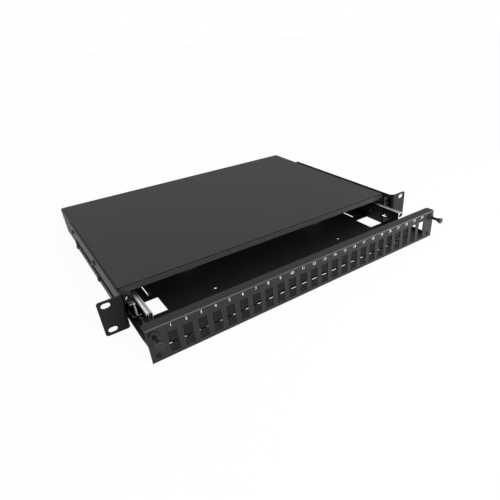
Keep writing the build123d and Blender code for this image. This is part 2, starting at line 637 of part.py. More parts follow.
# Cable entry plate with two slots and two open keyholes
with BuildPart() as cable_entry_plate:
    with BuildSketch(upright(ENTRY_BACK)):
        with Locations((0, middle((ENTRY_BOTTOM, ENTRY_TOP)))):
            Rectangle(2 * ENTRY_HALF, ENTRY_TOP - ENTRY_BOTTOM)
        for side in (-1, 1):
            slot_z = ENTRY_ARC_BOTTOM + SLOT_ENTRY_R
            with Locations((side * SLOT_ENTRY_X, slot_z)):
                Circle(SLOT_ENTRY_R, mode=Mode.SUBTRACT)
            with Locations((side * SLOT_ENTRY_X, middle((slot_z, SLOT_ENTRY_TOP)))):
                Rectangle(2 * SLOT_ENTRY_R, SLOT_ENTRY_TOP - slot_z, mode=Mode.SUBTRACT)
            key_z = ENTRY_ARC_BOTTOM + KEY_ENTRY_R
            with Locations((side * KEY_ENTRY_X, key_z)):
                Circle(KEY_ENTRY_R, mode=Mode.SUBTRACT)
            with Locations((side * KEY_ENTRY_X, middle((key_z, ENTRY_TOP + 1)))):
                Rectangle(KEY_NECK, ENTRY_TOP + 1 - key_z, mode=Mode.SUBTRACT)
        with Locations(*[(x, ENTRY_SCREW_Z) for x in ENTRY_TABS_X]):
            RegularPolygon(DRAWER_HOLE_R, ROUND_SIDES, mode=Mode.SUBTRACT)
    extrude(amount=SHEET)

cable_entry_screws = screws(
    [upright(ENTRY_FRONT) * Location((x, ENTRY_SCREW_Z, 0)) for x in ENTRY_TABS_X],
    DRAWER_HEAD, DRAWER_HOLE_R, 2 * SHEET)

# Screws that hold the inner slide members, heads towards the middle of the drawer
slide_inner_screws = screws(
    [outward(-side, -WINDOW_X[1]) * Location((-side * y, SLIDE_MIDDLE_Z, 0))
     for side in (-1, 1) for y in TAB_SCREW_YS],
    DRAWER_HEAD, DRAWER_HOLE_R, SHEET + SLIDE_SHEET)

# Fibre reel: a ring with four petals that hold the coiled fibre down
with BuildPart() as fibre_reel_right:
    with BuildSketch(Plane.XY.offset(FLOOR_TOP)):
        with Locations((REEL_X, REEL_Y)):
            Circle(REEL_R)
            Circle(REEL_INSIDE_R, mode=Mode.SUBTRACT)
    extrude(amount=REEL_TOP - FLOOR_TOP)
    with BuildSketch(Plane.XY.offset(REEL_TOP - REEL_PETAL_SHEET)):
        with Locations((REEL_X, REEL_Y)):
            for turn in (45, 135):
                SlotOverall(*REEL_PETAL, rotation=turn)
            Circle(REEL_INSIDE_R, mode=Mode.SUBTRACT)
    extrude(amount=REEL_PETAL_SHEET)
    with BuildSketch(Plane.XY.offset(FLOOR_TOP)):
        with Locations((REEL_X, REEL_Y)):
            with GridLocations(0, 2 * REEL_LUG_OFFSET, 1, 2):
                Rectangle(*REEL_LUG)
            Circle(middle((REEL_INSIDE_R, REEL_R)), mode=Mode.INTERSECT)
        with Locations(*REEL_LUGS[2:]):
            RegularPolygon(DRAWER_HOLE_R, ROUND_SIDES, mode=Mode.SUBTRACT)
    extrude(amount=REEL_LUG_THICK)

fibre_reel_left = mirrored(fibre_reel_right)
fibre_reel_screws = screws([(x, y, FLOOR_TOP + REEL_LUG_THICK) for x, y in REEL_LUGS],
                           DRAWER_HEAD, DRAWER_HOLE_R, REEL_LUG_THICK + SHEET)

def turned(*sections):
    """A round piece on the latch axis, in few facets, from its places and radii."""
    with BuildPart() as piece:
        for y, radius in sections:
            with BuildSketch(upright(y)):
                with Locations((LATCH_X, LATCH_Z)):
                    RegularPolygon(radius, ROUND_SIDES)
        loft(ruled=True)
    return piece


# Latch grommet, snapped into the panel: flange, neck and barbed sleeve round a bore
GROMMET_FRONT = FACE_Y - 3.0
GROMMET_BACK = FACE_BACK + 9.0

with BuildPart() as latch_grommet_right:
    add(turned((GROMMET_FRONT, GROMMET_R + 1.0), (FACE_Y, GROMMET_R + 1.8)))
    add(turned((FACE_Y, GROMMET_R), (FACE_BACK, GROMMET_R)))
    add(turned((FACE_BACK, GROMMET_R), (FACE_BACK + 0.8, GROMMET_R + 0.6), (GROMMET_BACK, 3.0)))
    with BuildSketch(upright(GROMMET_BACK)):
        with Locations((LATCH_X, LATCH_Z)):
            RegularPolygon(PLUNGER_R + PLUNGER_GAP, ROUND_SIDES)
    extrude(amount=GROMMET_BACK - GROMMET_FRONT, mode=Mode.SUBTRACT)

latch_grommet_left = mirrored(latch_grommet_right)

# Latch plunger: flared knob, shaft and tapered tip
with BuildPart() as latch_plunger_right:
    add(turned((KNOB_FRONT, KNOB_R - 0.4), (KNOB_FRONT + 1.2, KNOB_R),
               (KNOB_FRONT + 6.4, PLUNGER_R), (PLUNGER_TIP - 4.0, PLUNGER_R),
               (PLUNGER_TIP, PLUNGER_R / 2)))

latch_plunger_left = mirrored(latch_plunger_right)

PIECES = {
    "case_cover": case_cover,
    "case_rear_panel": case_rear_panel,
    "case_rear_rivets": case_rear_rivets,
    "rack_ear_left": rack_ear_left,
    "rack_ear_right": rack_ear_right,
    "rack_ear_screws": rack_ear_screws,
    "slide_outer_left": slide_outer_left,
    "slide_outer_right": slide_outer_right,
    "slide_outer_rivets": slide_outer_rivets,
    "slide_middle_left": slide_middle_left,
    "slide_middle_right": slide_middle_right,
    "outer_ball_cage_left": outer_cage_left,
    "outer_ball_cage_right": outer_cage_right,
    "outer_balls_left": outer_balls_left,
    "outer_balls_right": outer_balls_right,
    "inner_ball_cage_left": inner_cage_left,
    "inner_ball_cage_right": inner_cage_right,
    "inner_balls_left": inner_balls_left,
    "inner_balls_right": inner_balls_right,
    "slide_inner_left": slide_inner_left,
    "slide_inner_right": slide_inner_right,
    "slide_inner_screws": slide_inner_screws,
    "drawer_tray": drawer_tray,
    "front_panel": front_panel,
    "front_panel_screws": front_panel_screws,
    "cable_entry_plate": cable_entry_plate,
    "cable_entry_screws": cable_entry_screws,
    "fibre_reel_left": fibre_reel_left,
    "fibre_reel_right": fibre_reel_right,
    "fibre_reel_screws": fibre_reel_screws,
    "latch_grommet_left": latch_grommet_left,
    "latch_grommet_right": latch_grommet_right,
    "latch_plunger_left": latch_plunger_left,
    "latch_plunger_right": latch_plunger_right,
}

os.makedirs("parts", exist_ok=True)
for name, piece in PIECES.items():
    piece.part.label = name
    export_step(piece.part, f"parts/{name}.step")
    print(name, len(piece.part.solids()), "solids", round(piece.part.volume, 1), "mm3")
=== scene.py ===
# %% [markdown]
# # A sliding fibre patch drawer
#
# The object is a black sheet-steel case for a 19-inch rack. A drawer rolls out of it on ball
# slides, and its front panel has 24 numbered cut-outs for fibre adapters. The CAD model already
# has every piece at its real size, so this script loads it as a fixed frame and gives each
# piece its finish, its softened edges and the small details that are too fine for CAD.

import json
from math import cos, pi, radians, sin

import bmesh
import bpy
from mathutils import Matrix, Vector


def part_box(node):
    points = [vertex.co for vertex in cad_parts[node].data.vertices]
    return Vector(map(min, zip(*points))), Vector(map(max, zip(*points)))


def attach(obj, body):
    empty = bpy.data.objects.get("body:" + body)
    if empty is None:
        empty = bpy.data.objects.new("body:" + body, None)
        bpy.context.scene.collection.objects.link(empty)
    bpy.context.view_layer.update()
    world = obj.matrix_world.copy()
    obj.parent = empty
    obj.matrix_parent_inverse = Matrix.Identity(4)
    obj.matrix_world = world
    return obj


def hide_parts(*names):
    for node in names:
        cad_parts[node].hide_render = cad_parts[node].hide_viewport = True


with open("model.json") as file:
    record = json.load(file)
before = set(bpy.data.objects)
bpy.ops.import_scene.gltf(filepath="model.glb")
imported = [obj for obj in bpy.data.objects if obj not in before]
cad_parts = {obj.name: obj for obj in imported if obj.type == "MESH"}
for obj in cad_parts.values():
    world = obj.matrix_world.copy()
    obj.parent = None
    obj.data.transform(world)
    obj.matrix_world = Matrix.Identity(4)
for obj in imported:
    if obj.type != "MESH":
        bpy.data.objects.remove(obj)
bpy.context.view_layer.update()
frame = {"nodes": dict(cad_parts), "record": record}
nodes = frame["nodes"]
MM = 0.001


# %% [markdown]
# ## The camera
#
# The photograph was taken from the front left, a little above the case, with the drawer pulled
# part of the way out. The camera's place was worked out from the known size of the rack ears,
# so the perspective agrees with the photograph. The lens shift only moves the picture in its
# frame. A camera is pointed here by building its three axes: one points back at the camera,
# one to its right and one up, and a small roll turns the last two.

# %% Where the camera stands
IMAGE = 500
SENSOR = 36
CLOSEST = 0.01  # nothing nearer than this is drawn
camera_turn = radians(-34.64)
camera_height = radians(31.26)
camera_roll = radians(-2.87)
camera_place = Vector((-0.2783, -0.4079, 0.2934))
focal_pixels = 416.1
centre_pixel = (286.9, 268.2)


def shown(name, data):
    """An object that holds the data, linked into the scene."""
    item = bpy.data.objects.new(name, data)
    bpy.context.scene.collection.objects.link(item)
    return item


# %% Camera
back = Vector((sin(camera_turn) * cos(camera_height), -cos(camera_turn) * cos(camera_height),
               sin(camera_height)))
level = (-back).cross(Vector((0, 0, 1))).normalized()
upright = level.cross(-back)
right = cos(camera_roll) * level + sin(camera_roll) * upright
up = cos(camera_roll) * upright - sin(camera_roll) * level

camera_data = bpy.data.cameras.new("camera")
camera_data.sensor_width = SENSOR
camera_data.lens = focal_pixels / IMAGE * SENSOR
camera_data.shift_x = (IMAGE / 2 - centre_pixel[0]) / IMAGE
camera_data.shift_y = (centre_pixel[1] - IMAGE / 2) / IMAGE
camera_data.clip_start = CLOSEST
camera = shown("camera", camera_data)
axes = Matrix((right, up, back)).transposed().to_4x4()
camera.matrix_world = Matrix.Translation(camera_place) @ axes
bpy.context.scene.camera = camera
print("Lens in mm:", round(camera_data.lens, 2))

# %% [markdown]
# ## Materials in short lines
#
# A material is a tree of nodes. Each node has sockets, and a socket holds a plain value or takes
# a link from another node. The editor builds such a tree by hand. Here a few helpers each make
# one kind of node in one line, so that the cells below read like recipes.

# %% Node helpers
def new_material(name):
    """A material with an empty node tree, and that tree."""
    material = bpy.data.materials.new(name)
    material.use_nodes = True
    material.node_tree.nodes.clear()
    return material, material.node_tree


def feed(tree, node, sources):
    """Give each named socket of a node its plain value, or a link from another node."""
    for socket, source in sources.items():
        if isinstance(source, bpy.types.NodeSocket):
            tree.links.new(source, node.inputs[socket])
        else:
            node.inputs[socket].default_value = source
    return node


def add(tree, kind, sources=None):
    """A new node with its sockets fed."""
    return feed(tree, tree.nodes.new(kind), sources or {})


def calculate(tree, operation, *terms):
    """The result of a Math node. Its terms are numbers or other nodes' outputs."""
    node = tree.nodes.new("ShaderNodeMath")
    node.operation = operation
    return feed(tree, node, dict(enumerate(terms))).outputs[0]


def ranged(tree, value, start, end, kind="LINEAR"):
    """A value moved from one span to another by a Map Range node."""
    node = tree.nodes.new("ShaderNodeMapRange")
    node.interpolation_type = kind
    feed(tree, node, {"Value": value, "From Min": start[0], "From Max": start[1],
                      "To Min": end[0], "To Max": end[1]})
    return node.outputs["Result"]


def split(tree, vector):
    """The X, Y and Z of a vector."""
    return add(tree, "ShaderNodeSeparateXYZ", {"Vector": vector}).outputs


def grey(tone, blue=1.0):
    """A grey of the given tone, with its blue scaled a little."""
    return (tone, tone, tone * blue, 1)


# %% [markdown]
# ## Floor, surround and lamps
#
# Product photographs of black goods are taken in a white surround, because black paint shows
# little of its own colour: what is seen is mostly its reflection of that surround. The floor
# is a pale sheet. Most of the light that the camera gets from it is its own, so it reads as
# white and still keeps a soft shadow. Reflections get a smaller part, so that upright faces
# don't turn grey. The world is white where the camera sees it. For the object it is a studio:
# a bright ceiling above and dim walls near the horizon, which keep upright faces and tight
# bends dark. Two square lamps stand for softboxes, one in front and a small one at the right.

# %% Floor
FLOOR_TONE = 0.86
OWN_LIGHT = 0.95  # share of the seen floor that is its own light
MIRRORED = 0.35  # share of that light which reflections get
FLOOR_HALF_SIZE = 6.0
FLOOR_DROP = 0.0002  # keeps the floor clear of the case's underside


def as_mesh(name, shape, material):
    """A mesh made from a bmesh, with one material."""
    mesh = bpy.data.meshes.new(name)
    shape.to_mesh(mesh)
    shape.free()
    mesh.materials.append(material)
    return mesh


pale_floor, tree = new_material("pale_floor")
rays = add(tree, "ShaderNodeLightPath").outputs
seen = calculate(tree, "MAXIMUM", rays["Is Camera Ray"],
                 calculate(tree, "MULTIPLY", rays["Is Glossy Ray"], MIRRORED))
seen = calculate(tree, "MAXIMUM", seen, rays["Is Transmission Ray"])
sheet = add(tree, "ShaderNodeBsdfDiffuse", {"Color": grey(FLOOR_TONE)})
glow = add(tree, "ShaderNodeEmission", {"Strength": 1.0})
blend = add(tree, "ShaderNodeMixShader", {"Fac": calculate(tree, "MULTIPLY", seen, OWN_LIGHT),
                                          1: sheet.outputs[0], 2: glow.outputs[0]})
add(tree, "ShaderNodeOutputMaterial", {"Surface": blend.outputs[0]})

shape = bmesh.new()
bmesh.ops.create_grid(shape, x_segments=1, y_segments=1, size=FLOOR_HALF_SIZE,
                      matrix=Matrix.Translation((0, 0, -FLOOR_DROP)))
floor = shown("floor", as_mesh("floor", shape, pale_floor))
print("Floor in metres:", [2 * FLOOR_HALF_SIZE] * 2)

# %% Surround
WHITE = grey(1.0)
CEILING = 0.90
WALL = 0.45
CLIMB = (0.10, 0.85)  # heights between which a wall turns into the ceiling

world = bpy.data.worlds.new("studio")
world.use_nodes = True
sky = world.node_tree
height = split(sky, add(sky, "ShaderNodeTexCoord").outputs["Generated"])["Z"]
studio = feed(sky, sky.nodes["Background"], {
    "Color": WHITE, "Strength": ranged(sky, height, CLIMB, (WALL, CEILING), "SMOOTHSTEP")})
white = add(sky, "ShaderNodeBackground", {"Color": WHITE, "Strength": 1.0})
rays = add(sky, "ShaderNodeLightPath").outputs
blend = add(sky, "ShaderNodeMixShader", {"Fac": rays["Is Camera Ray"],
                                         1: studio.outputs[0], 2: white.outputs[0]})
feed(sky, sky.nodes["World Output"], {"Surface": blend.outputs[0]})
bpy.context.scene.world = world
print("Light of walls and ceiling:", WALL, CEILING)


# %% Lamps
def soft_lamp(name, place, target, size, power):
    """A square area lamp at one place, aimed at another."""
    data = bpy.data.lights.new(name, "AREA")
    data.shape = "SQUARE"
    data.size = size
    data.energy = power
    lamp = shown(name, data)
    aim = (Vector(target) - Vector(place)).to_track_quat("-Z", "Y")
    lamp.matrix_world = Matrix.Translation(place) @ aim.to_matrix().to_4x4()
    print(name, power, "W")


soft_lamp("front_softbox", place=(0.15, -1.25, 0.60), target=(0.0, 0.0, 0.03), size=0.5,
          power=12.0)
soft_lamp("side_softbox", place=(0.62, -0.50, 0.12), target=(0.24, -0.03, 0.03), size=0.24,
          power=4.2)
bpy.context.scene.view_settings.view_transform = "Standard"

# %% [markdown]
# ## Powder-coated steel
#
# The case, the drawer and the ears are powder coated: the paint is baked on and flows into a
# satin skin with a very fine orange-peel. Its own colour is almost black, and its grey comes
# from the white surround. Two noises make it: a wide one shifts the gloss and the tone a
# little, as on any large sheet, and a fine one dents the surface. An image of paint would
# also work, but noise on Object coordinates has no seams and stays sharp close up.
# A thin dark line of painted shade runs along the bend of the case's folded lip, and the same
# bend of the drawer's panel gets a faint painted highlight. The shader finds such a bend by its
# normal, which looks forward and up at once.

# %% Helpers for surfaces
def noise(tree, place, scale, detail):
    """The grey of a noise texture."""
    sources = {"Vector": place, "Scale": scale, "Detail": detail}
    return add(tree, "ShaderNodeTexNoise", sources).outputs["Fac"]


def mixed(tree, factor, first, second):
    """A colour between two others."""
    node = tree.nodes.new("ShaderNodeMix")
    node.data_type = "RGBA"
    return feed(tree, node, {"Factor": factor, "A": first, "B": second}).outputs["Result"]


def dented(tree, heights, strength, depth):
    """The normal of a surface that a texture of heights dents."""
    sources = {"Height": heights, "Strength": strength, "Distance": depth}
    return add(tree, "ShaderNodeBump", sources).outputs["Normal"]


def surface(tree, sources):
    """Make a Principled shader the material's surface."""
    shader = add(tree, "ShaderNodeBsdfPrincipled", sources)
    add(tree, "ShaderNodeOutputMaterial", {"Surface": shader.outputs[0]})


# %% Powder coat
CLOUDS = (9.0, 4.0)  # scale and detail of the wide noise
SPECKLE = (1400.0, 2.0)  # scale and detail of the fine noise
PAINT_DARK, PAINT_LIGHT = 0.75, 1.35  # how far the tone wanders
DARK_BLUE, LIGHT_BLUE = 1.03, 1.04
PAINT_DRIFT = 0.05  # how far the roughness wanders
PEEL_STRENGTH, PEEL_DEPTH = 0.25, 0.00005
BEND = (-0.22, -0.45)  # the normal's Y times its Z, where the painted light on a bend begins and where it is full


def painted_bend_share(tree):
    """A factor that is 1 on a bend that looks forward and up, and 0 elsewhere, for painted light.
    """
    normal = split(tree, add(tree, "ShaderNodeNewGeometry").outputs["Normal"])
    return ranged(tree, calculate(tree, "MULTIPLY", normal["Y"], normal["Z"]), BEND, (0, 1))


def powder_coat(name, tone, roughness, gloss, painted_bend_tone=None):
    """Satin black powder coat. The tones are brightnesses, and gloss is the specular level.
    The bend tone, if given, is painted light along a forward and upward bend: painted shade
    when it is dark, a painted highlight when it is light.
    """
    material, tree = new_material(name)
    place = add(tree, "ShaderNodeTexCoord").outputs["Object"]
    clouds = noise(tree, place, *CLOUDS)
    speckle = noise(tree, place, *SPECKLE)
    mottle = calculate(tree, "MULTIPLY_ADD", speckle, 0.5,
                       calculate(tree, "MULTIPLY", clouds, 0.5))
    colour = mixed(tree, mottle, grey(tone * PAINT_DARK, DARK_BLUE),
                   grey(tone * PAINT_LIGHT, LIGHT_BLUE))
    # Painted light along the bend: a line of shade on the case, a highlight on the panel.
    if painted_bend_tone is not None:
        colour = mixed(tree, painted_bend_share(tree), colour, grey(painted_bend_tone))
    satin = ranged(tree, clouds, (0, 1), (roughness - PAINT_DRIFT, roughness + PAINT_DRIFT))
    surface(tree, {"Base Color": colour, "Roughness": satin, "Specular IOR Level": gloss,
                   "Normal": dented(tree, speckle, PEEL_STRENGTH, PEEL_DEPTH)})
    return material


# %% The painted pieces
# The case's bend tone paints a thin line of shade along its lip, the panel's a highlight.
# These are lit and shaded copies of one black powder coat: the lid gets the lightest tone and the
# ears the darkest, to paint the light and shade that each part gets.
case_paint = powder_coat("case_powder_coat", tone=0.034, roughness=0.48, gloss=0.12,
                         painted_bend_tone=0.001)
ear_paint = powder_coat("ear_powder_coat", tone=0.007, roughness=0.42, gloss=0.22)
panel_paint = powder_coat("panel_powder_coat", tone=0.014, roughness=0.40, gloss=0.24,
                          painted_bend_tone=0.055)
tray_paint = powder_coat("tray_powder_coat", tone=0.010, roughness=0.45, gloss=0.21)
print("Powder coats:", case_paint.name, ear_paint.name, panel_paint.name, tray_paint.name)

# %% [markdown]
# ## Zinc-plated slides, steel balls and black plastic
#
# The slides are rolled steel strip with bright zinc on it. Rolling leaves fine lines along
# the strip, so the noise is stretched along Y with a Mapping node. Two lines at set distances
# from the middle are dark: painted shade in the crease beside each ball track. The upright web
# is darkened as painted shade too. The balls are polished, and the ball cages, reels and latch
# knobs are moulded in black plastic with a soft sheen.

# %% Painted shade in the creases and on the webs
SLIDE_CREASES = (0.1968, 0.2102)  # distances from the middle of the drawer
CREASE_WIDTH = (0.35 * MM, 0.75 * MM)  # full painted shade up to the first, none past the second
CREASE_LIGHT = 0.10
WEB_NORMAL = (0.30, 0.75)  # the normal's X, where the web begins and where it is full
WEB_LIGHT = 0.08


def dimmed(tree, colour, share):
    """A share of a colour."""
    node = tree.nodes.new("ShaderNodeVectorMath")
    node.operation = "SCALE"
    return feed(tree, node, {0: colour, "Scale": share}).outputs[0]


def painted_crease_shade(tree, place, colour):
    """Darken a colour in lines along Y, at each crease of the slides, as painted shade."""
    side = calculate(tree, "ABSOLUTE", split(tree, place)["X"])
    for crease in SLIDE_CREASES:
        away = calculate(tree, "ABSOLUTE", calculate(tree, "SUBTRACT", side, crease))
        colour = dimmed(tree, colour, ranged(tree, away, CREASE_WIDTH, (CREASE_LIGHT, 1)))
    return colour


def painted_web_shade(tree, colour):
    """Darken a colour where the surface is upright and looks to the side: painted shade on the
    web.
    """
    normal = split(tree, add(tree, "ShaderNodeNewGeometry").outputs["Normal"])
    side = calculate(tree, "ABSOLUTE", normal["X"])
    # Painted shade: the side-facing web is made dark.
    return dimmed(tree, colour, ranged(tree, side, WEB_NORMAL, (1, WEB_LIGHT)))


# %% Zinc and steel
ROLLING = (1800.0, 3.0)  # scale and detail of the rolled lines
ROLLING_STRETCH = (1.0, 0.03, 1.0)
BLOOM = (60.0, 3.0)  # scale and detail of the zinc's clouds
BLOOM_TINT = (0.88, 0.90, 0.93)
LEAST_ROUGH, MOST_ROUGH = -0.06, 0.10
SCRATCH_STRENGTH, SCRATCH_DEPTH = 0.12, 0.00003


def rolled_zinc(name, tone, roughness, slide=False):
    """Bright plated steel with fine lines along the length of the slide."""
    material, tree = new_material(name)
    place = add(tree, "ShaderNodeTexCoord").outputs["Object"]
    along = add(tree, "ShaderNodeMapping", {"Vector": place, "Scale": ROLLING_STRETCH})
    lines = noise(tree, along.outputs["Vector"], *ROLLING)
    bloom = (*[tone * part for part in BLOOM_TINT], 1)
    colour = mixed(tree, noise(tree, place, *BLOOM), bloom, grey(tone))
    if slide:
        # Painted shade on the slides: dark lines at the creases and a dark upright web.
        colour = painted_web_shade(tree, painted_crease_shade(tree, place, colour))
    polish = ranged(tree, lines, (0, 1), (roughness + LEAST_ROUGH, roughness + MOST_ROUGH))
    surface(tree, {"Base Color": colour, "Metallic": 1.0, "Roughness": polish,
                   "Normal": dented(tree, lines, SCRATCH_STRENGTH, SCRATCH_DEPTH)})
    return material


slide_zinc = rolled_zinc("slide_zinc", tone=0.90, roughness=0.30, slide=True)
rivet_zinc = rolled_zinc("rivet_zinc", tone=0.62, roughness=0.38)
ball_steel = rolled_zinc("ball_steel", tone=0.85, roughness=0.14)
print("Metals:", slide_zinc.name, rivet_zinc.name, ball_steel.name)

# %% Black plastic
GRAIN = (2500.0, 2.0)  # scale and detail of the mould's grain
GRAIN_DARK, GRAIN_DARK_BLUE, GRAIN_LIGHT = 0.85, 0.87, 1.15
PLASTIC_GLOSS = 0.4
PLASTIC_DRIFT = 0.04
GRAIN_STRENGTH, GRAIN_DEPTH = 0.15, 0.00002


def moulded_plastic(name, tone, roughness):
    """Black moulded plastic with the faint grain of its tool."""
    material, tree = new_material(name)
    grain = noise(tree, add(tree, "ShaderNodeTexCoord").outputs["Object"], *GRAIN)
    dark = (tone * GRAIN_DARK, tone * GRAIN_DARK, tone * GRAIN_DARK_BLUE, 1)
    sheen = ranged(tree, grain, (0, 1), (roughness - PLASTIC_DRIFT, roughness + PLASTIC_DRIFT))
    surface(tree, {"Base Color": mixed(tree, grain, dark, grey(tone * GRAIN_LIGHT)),
                   "Roughness": sheen, "Specular IOR Level": PLASTIC_GLOSS,
                   "Normal": dented(tree, grain, GRAIN_STRENGTH, GRAIN_DEPTH)})
    return material


cage_plastic = moulded_plastic("cage_plastic", tone=0.020, roughness=0.42)
reel_plastic = moulded_plastic("reel_plastic", tone=0.016, roughness=0.46)
latch_plastic = moulded_plastic("latch_plastic", tone=0.010, roughness=0.36)
screw_black = moulded_plastic("black_oxide", tone=0.014, roughness=0.40)
print("Plastics:", cage_plastic.name, reel_plastic.name, latch_plastic.name)

# %% [markdown]
# ## Softened edges
#
# Powder coat rounds every cut edge a little, and that rounding catches a thin line of light.
# The CAD solids have knife edges, so each one is copied, its loose triangles are merged into
# clean faces, and a Bevel modifier rounds what is sharper than a set angle. Bends stay smooth,
# because edges below that angle are shaded across. The copy then stands for the CAD node.

# %% What each node belongs to
BODY_OF = {node: body for body, held in frame["record"]["behaviour"]["bodies"].items()
           for node in held}
SLOT_OF = {entry["node"]: entry["material_slot"] for entry in frame["record"]["subparts"]}
FINISHES = {  # each slot's material, and the radius in mm that softens its edges
    "case_paint": (case_paint, 0.2), "ear_paint": (ear_paint, 0.25),
    "panel_paint": (panel_paint, 0.2), "tray_paint": (tray_paint, 0.2),
    "slide_zinc": (slide_zinc, 0), "rivet_steel": (rivet_zinc, 0),
    "screw_black": (screw_black, 0), "cage_plastic": (cage_plastic, 0),
    "ball_steel": (ball_steel, 0), "reel_plastic": (reel_plastic, 0.3),
    "latch_plastic": (latch_plastic, 0),
}
ROUND_SLOTS = {"rivet_steel", "screw_black", "ball_steel", "latch_plastic"}
sheet_nodes = [node for node in nodes if SLOT_OF[node] not in ROUND_SLOTS]
print("Nodes to dress:", len(sheet_nodes), "and to rebuild round:", len(nodes) - len(sheet_nodes))

# %% Dress the CAD nodes
WELD = 0.000002  # points closer than this are one
FLAT = 0.6  # degrees: faces that differ less are one flat face
SHEET_BEND = 28  # degrees: a sharper edge is an edge, a softer one is part of a bend
ROUNDED_FROM = 38  # degrees: a sharper edge is rounded


def shade_smooth(shape, limit):
    """Shade faces as one, except across edges sharper than a limit in degrees."""
    for face in shape.faces:
        face.smooth = True
    for edge in shape.edges:
        edge.smooth = len(edge.link_faces) == 2 and edge.calc_face_angle(0) < radians(limit)


def softened(node, material, rounding):
    """A smooth-shaded copy of a CAD node, with its sharp edges rounded."""
    mesh = nodes[node].data.copy()
    mesh.name = node + "_finish"
    shape = bmesh.new()
    shape.from_mesh(mesh)
    bmesh.ops.remove_doubles(shape, verts=shape.verts, dist=WELD)
    bmesh.ops.dissolve_limit(shape, angle_limit=radians(FLAT), use_dissolve_boundaries=False,
                             verts=shape.verts, edges=shape.edges, delimit=set())
    shade_smooth(shape, SHEET_BEND)
    shape.to_mesh(mesh)
    shape.free()
    mesh.materials.clear()
    mesh.materials.append(material)
    piece = shown(node + "_finish", mesh)
    if rounding:
        bevel = piece.modifiers.new("rounding", "BEVEL")
        bevel.width = rounding * MM
        bevel.segments = 2
        bevel.limit_method = "ANGLE"
        bevel.angle_limit = radians(ROUNDED_FROM)
        bevel.harden_normals = False
    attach(piece, BODY_OF[node])
    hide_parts(node)


for node in sheet_nodes:
    softened(node, *FINISHES[SLOT_OF[node]])
print("Dressed nodes:", len(sheet_nodes))

# %% [markdown]
# ## Round pieces from the CAD's few-sided ones
#
# The CAD keeps screws, rivets, balls and latch pieces to twelve sides or so. Here each gets its
# true round shape. A node can hold a group of them, so its mesh is first split into islands of
# joined vertices, and the box of each island says where one screw or ball sits.

# %% Find each screw, rivet and ball
def islands(node):
    """The lowest and highest corners of each separate solid of a node."""
    shape = bmesh.new()
    shape.from_mesh(nodes[node].data)
    bmesh.ops.remove_doubles(shape, verts=shape.verts, dist=WELD)
    waiting = set(shape.verts)
    found = []
    while waiting:
        reached = [waiting.pop()]
        held = []
        while reached:
            vertex = reached.pop()
            held.append(vertex.co.copy())
            for edge in vertex.link_edges:
                other = edge.other_vert(vertex)
                if other in waiting:
                    waiting.remove(other)
                    reached.append(other)
        low = Vector([min(place[axis] for place in held) for axis in range(3)])
        high = Vector([max(place[axis] for place in held) for axis in range(3)])
        found.append((low, high))
    shape.free()
    return sorted(found, key=lambda box: tuple(box[0]))


for node in nodes:
    if SLOT_OF[node] in ROUND_SLOTS:
        print(node, len(islands(node)), "solids")

# %% Put a new shape in a node's place
TURNED_EDGE = 32  # degrees: a sharper edge of a turned piece is an edge


def finished_piece(name, shape, material, node):
    """A new object from a bmesh that stands for a CAD node."""
    bmesh.ops.recalc_face_normals(shape, faces=shape.faces)
    shade_smooth(shape, TURNED_EDGE)
    piece = shown(name, as_mesh(name, shape, material))
    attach(piece, BODY_OF[node])
    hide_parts(node)
    print(name, "has", len(piece.data.polygons), "faces")


# %% [markdown]
# ## The balls
#
# Slide balls are ground and polished steel. An icosphere shades evenly from every side, which a
# sphere with poles doesn't, and at this size three subdivisions are round enough.

# %% Steel balls
BALL_RADIUS = 1.5 * MM
for node in nodes:
    if SLOT_OF[node] != "ball_steel":
        continue
    rows = bmesh.new()
    for low, high in islands(node):
        bmesh.ops.create_icosphere(rows, subdivisions=3, radius=BALL_RADIUS,
                                   matrix=Matrix.Translation((low + high) / 2))
    finished_piece(node + "_round", rows, ball_steel, node)

# %% [markdown]
# ## Screws and rivets
#
# A screw head is a turned dome with a cross recess punched in it. The dome is spun from its
# profile. The recess starts as a grid of nine squares whose middle row and column are made
# narrow. Its four corners are deleted, which leaves a cross, and the cross is pushed down and
# tapered, as the punch does it. The blind rivets get a dome with the small pit that their
# mandrel leaves.

# %% Turned shapes
SPIN_STEPS = 32
DOME_STEPS = 5
RIM = 0.35  # share of a head's height that is its upright rim


def spun(shape, profile):
    """Spin a profile of (radius, height) pairs about Z into the shape."""
    line = [shape.verts.new((radius, 0, height)) for radius, height in profile]
    edges = [shape.edges.new(pair) for pair in zip(line, line[1:])]
    bmesh.ops.spin(shape, geom=line + edges, cent=(0, 0, 0), axis=(0, 0, 1), angle=2 * pi,
                   steps=SPIN_STEPS, use_merge=True)


def dome(radius, height, flat):
    """Profile of a low dome from its rim up to the edge of its flat top."""
    rim = RIM * height
    curve = [(radius, 0), (radius, rim)]
    for step in range(1, DOME_STEPS + 1):
        turn = step / DOME_STEPS * pi / 2
        curve.append((flat + (radius - flat) * cos(turn), rim + (height - rim) * sin(turn)))
    return curve


# %% Screw
FLAT_TOP = 0.62  # share of the head's radius
TIP_RADIUS, TIP_LENGTH = 0.55, 0.45  # shares of the shank's radius
CROSS_REACH, CROSS_HALF_WIDTH = 0.80, 0.17  # shares of the flat top
CROSS_TAPER, CROSS_FLOOR = 0.7, 0.45  # how narrow its floor is, and how high in the head


def faces_at(vertices):
    """The faces that meet the vertices, each once and always in the same order."""
    return list(dict.fromkeys(face for vertex in vertices for face in vertex.link_faces))


